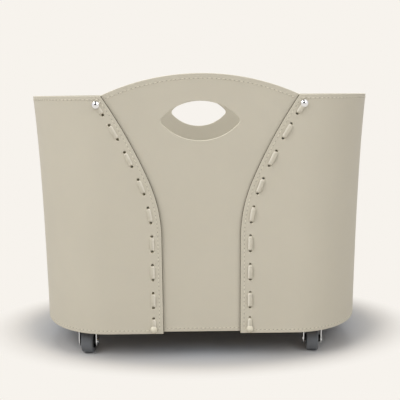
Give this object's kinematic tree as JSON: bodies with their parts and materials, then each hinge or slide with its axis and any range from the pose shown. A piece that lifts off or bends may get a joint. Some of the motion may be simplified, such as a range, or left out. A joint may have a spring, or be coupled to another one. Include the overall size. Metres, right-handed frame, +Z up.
{
  "type": "log basket on casters",
  "caption": "Laced leather log basket with arched hand-hole panels front and back, rounded ends and swivel casters under a board.",
  "frame": {"origin": "on the floor, under the middle of the basket", "axes": "+X along the long side to the right, +Y from the front panel to the back panel, +Z up"},
  "size_m": [0.534, 0.4238, 0.4405],
  "materials": {
    "leather": "smooth bonded leather, dove grey, matte",
    "lace_leather": "smooth flat leather thong, same colour as the panels",
    "mat_leather": "smooth bonded leather lining, matte",
    "board": "raw medium density fibreboard",
    "rivet_chrome": "polished chrome plate",
    "plated_steel": "bright zinc and chrome plated pressed steel",
    "bearing_steel": "hardened steel balls",
    "hub_plastic": "black moulded nylon",
    "grey_rubber": "dark grey soft tread rubber"
  },
  "bodies": {
    "basket": {"front_panel": "leather", "back_panel": "leather", "left_side_panel": "leather", "right_side_panel": "leather", "base_board": "board", "floor_mat": "mat_leather", "front_left_lace": "lace_leather", "front_right_lace": "lace_leather", "back_left_lace": "lace_leather", "back_right_lace": "lace_leather", "top_rivets": "rivet_chrome", "rivet_backs": "rivet_chrome", "base_nails": "rivet_chrome", "front_left_plate": "plated_steel", "front_left_kingpin": "plated_steel", "front_left_bearing_balls": "bearing_steel", "front_left_plate_screws": "plated_steel", "front_right_plate": "plated_steel", "front_right_kingpin": "plated_steel", "front_right_bearing_balls": "bearing_steel", "front_right_plate_screws": "plated_steel", "back_left_plate": "plated_steel", "back_left_kingpin": "plated_steel", "back_left_bearing_balls": "bearing_steel", "back_left_plate_screws": "plated_steel", "back_right_plate": "plated_steel", "back_right_kingpin": "plated_steel", "back_right_bearing_balls": "bearing_steel", "back_right_plate_screws": "plated_steel"},
    "front_left_swivel": {"front_left_fork": "plated_steel", "front_left_axle": "plated_steel"},
    "front_left_wheel": {"front_left_hub": "hub_plastic", "front_left_tyre": "grey_rubber"},
    "front_right_swivel": {"front_right_fork": "plated_steel", "front_right_axle": "plated_steel"},
    "front_right_wheel": {"front_right_hub": "hub_plastic", "front_right_tyre": "grey_rubber"},
    "back_left_swivel": {"back_left_fork": "plated_steel", "back_left_axle": "plated_steel"},
    "back_left_wheel": {"back_left_hub": "hub_plastic", "back_left_tyre": "grey_rubber"},
    "back_right_swivel": {"back_right_fork": "plated_steel", "back_right_axle": "plated_steel"},
    "back_right_wheel": {"back_right_hub": "hub_plastic", "back_right_tyre": "grey_rubber"}
  },
  "joints": [
    {"name": "front_left_swivel_turn", "type": "hinge", "parent": "basket", "child": "front_left_swivel", "pos_m": [-0.182, -0.145, 0.045], "axis": [0, 0, 1], "continuous": true},
    {"name": "front_left_wheel_spin", "type": "hinge", "parent": "front_left_swivel", "child": "front_left_wheel", "pos_m": [-0.18298, -0.15897, 0.019], "axis": [0.9976, -0.0698, 0], "continuous": true},
    {"name": "front_right_swivel_turn", "type": "hinge", "parent": "basket", "child": "front_right_swivel", "pos_m": [0.182, -0.145, 0.045], "axis": [0, 0, 1], "continuous": true},
    {"name": "front_right_wheel_spin", "type": "hinge", "parent": "front_right_swivel", "child": "front_right_wheel", "pos_m": [0.17981, -0.15883, 0.019], "axis": [0.9877, -0.1564, 0], "continuous": true},
    {"name": "back_left_swivel_turn", "type": "hinge", "parent": "basket", "child": "back_left_swivel", "pos_m": [-0.182, 0.145, 0.045], "axis": [0, 0, 1], "continuous": true},
    {"name": "back_left_wheel_spin", "type": "hinge", "parent": "back_left_swivel", "child": "back_left_wheel", "pos_m": [-0.182, 0.131, 0.019], "axis": [1, 0, 0], "continuous": true},
    {"name": "back_right_swivel_turn", "type": "hinge", "parent": "basket", "child": "back_right_swivel", "pos_m": [0.182, 0.145, 0.045], "axis": [0, 0, 1], "continuous": true},
    {"name": "back_right_wheel_spin", "type": "hinge", "parent": "back_right_swivel", "child": "back_right_wheel", "pos_m": [0.182, 0.131, 0.019], "axis": [1, 0, 0], "continuous": true}
  ]
}
